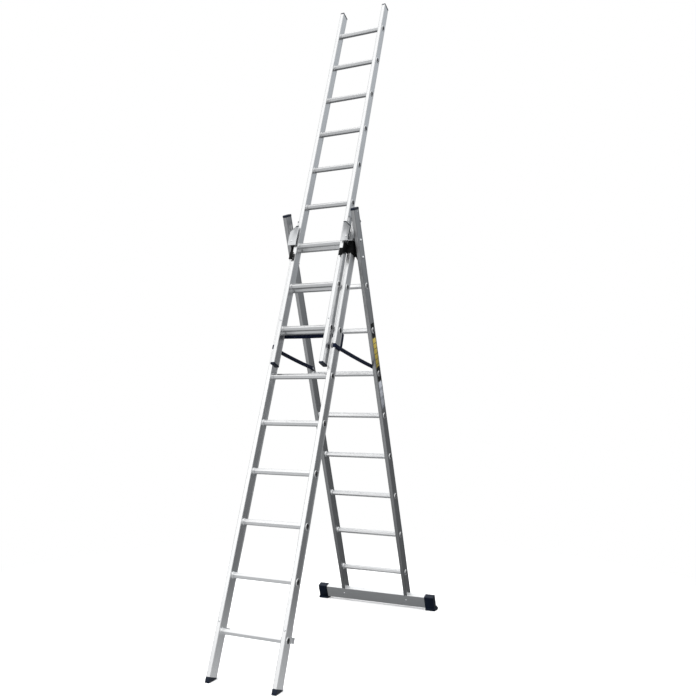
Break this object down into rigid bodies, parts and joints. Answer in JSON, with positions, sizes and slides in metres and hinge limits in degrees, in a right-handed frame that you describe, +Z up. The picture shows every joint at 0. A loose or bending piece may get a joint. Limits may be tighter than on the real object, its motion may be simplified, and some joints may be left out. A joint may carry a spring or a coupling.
{
  "type": "combination ladder",
  "caption": "Aluminium combination ladder: two rung sections hinged as an A-frame with spreader straps, and a sliding section raised in front, on feet and a crossbar.",
  "frame": {"origin": "on the floor, at the middle of the footprint's bounding box", "axes": "+Z up, X along the rungs, +Y from the climbing side towards the rear section"},
  "size_m": [0.858, 1.784, 4.1053],
  "materials": {
    "stile": "extruded, satin",
    "rung": "extruded, ribbed tread",
    "plate": "bent plate, satin",
    "hook": "zinc plated",
    "fastener": "zinc plated",
    "hinge_plastic": "moulded, fine grain",
    "cap": "moulded, satin",
    "webbing": "woven webbing",
    "label": "plain foil, no lettering"
  },
  "bodies": {
    "middle_section": {"middle_stile_left": "stile", "middle_stile_right": "stile", "middle_rung_1": "rung", "middle_rung_2": "rung", "middle_rung_3": "rung", "middle_rung_4": "rung", "middle_rung_5": "rung", "middle_rung_6": "rung", "middle_rung_7": "rung", "middle_rung_8": "rung", "middle_rung_9": "rung", "middle_foot_left": "cap", "middle_foot_right": "cap", "middle_cap_left": "cap", "middle_cap_right": "cap", "middle_hooks": "hook", "guide_left": "plate", "guide_right": "plate", "hinge_collar_left": "hinge_plastic", "hinge_collar_right": "hinge_plastic", "middle_fasteners": "fastener", "strap_cross": "webbing"},
    "rear_section": {"rear_stile_left": "stile", "rear_stile_right": "stile", "rear_rung_1": "rung", "rear_rung_2": "rung", "rear_rung_3": "rung", "rear_rung_4": "rung", "rear_rung_5": "rung", "rear_rung_6": "rung", "rear_rung_7": "rung", "rear_rung_8": "rung", "stabiliser_bar": "stile", "stabiliser_foot_left": "cap", "stabiliser_foot_right": "cap", "rear_cap_left": "cap", "rear_cap_right": "cap", "hinge_plate_left": "hinge_plastic", "hinge_plate_right": "hinge_plastic", "hinge_pins": "fastener", "rear_fasteners": "fastener", "labels": "label", "strap_left": "webbing", "strap_right": "webbing"},
    "top_section": {"top_stile_left": "stile", "top_stile_right": "stile", "top_rung_1": "rung", "top_rung_2": "rung", "top_rung_3": "rung", "top_rung_4": "rung", "top_rung_5": "rung", "top_rung_6": "rung", "top_rung_7": "rung", "top_rung_8": "rung", "top_rung_9": "rung", "top_hooks": "hook", "top_caps": "cap", "top_feet": "cap", "top_fasteners": "fastener"}
  },
  "joints": [
    {"name": "frame_fold", "type": "hinge", "parent": "middle_section", "child": "rear_section", "pos_m": [0, 0.02051, 2.27489], "axis": [-1, 0, 0], "range_deg": [0, 39.5], "deforming": ["strap_left", "strap_right"]},
    {"name": "top_slide", "type": "slide", "parent": "middle_section", "child": "top_section", "axis": [0, 0.3502, 0.9367], "range_m": [-1.68, 0]}
  ]
}
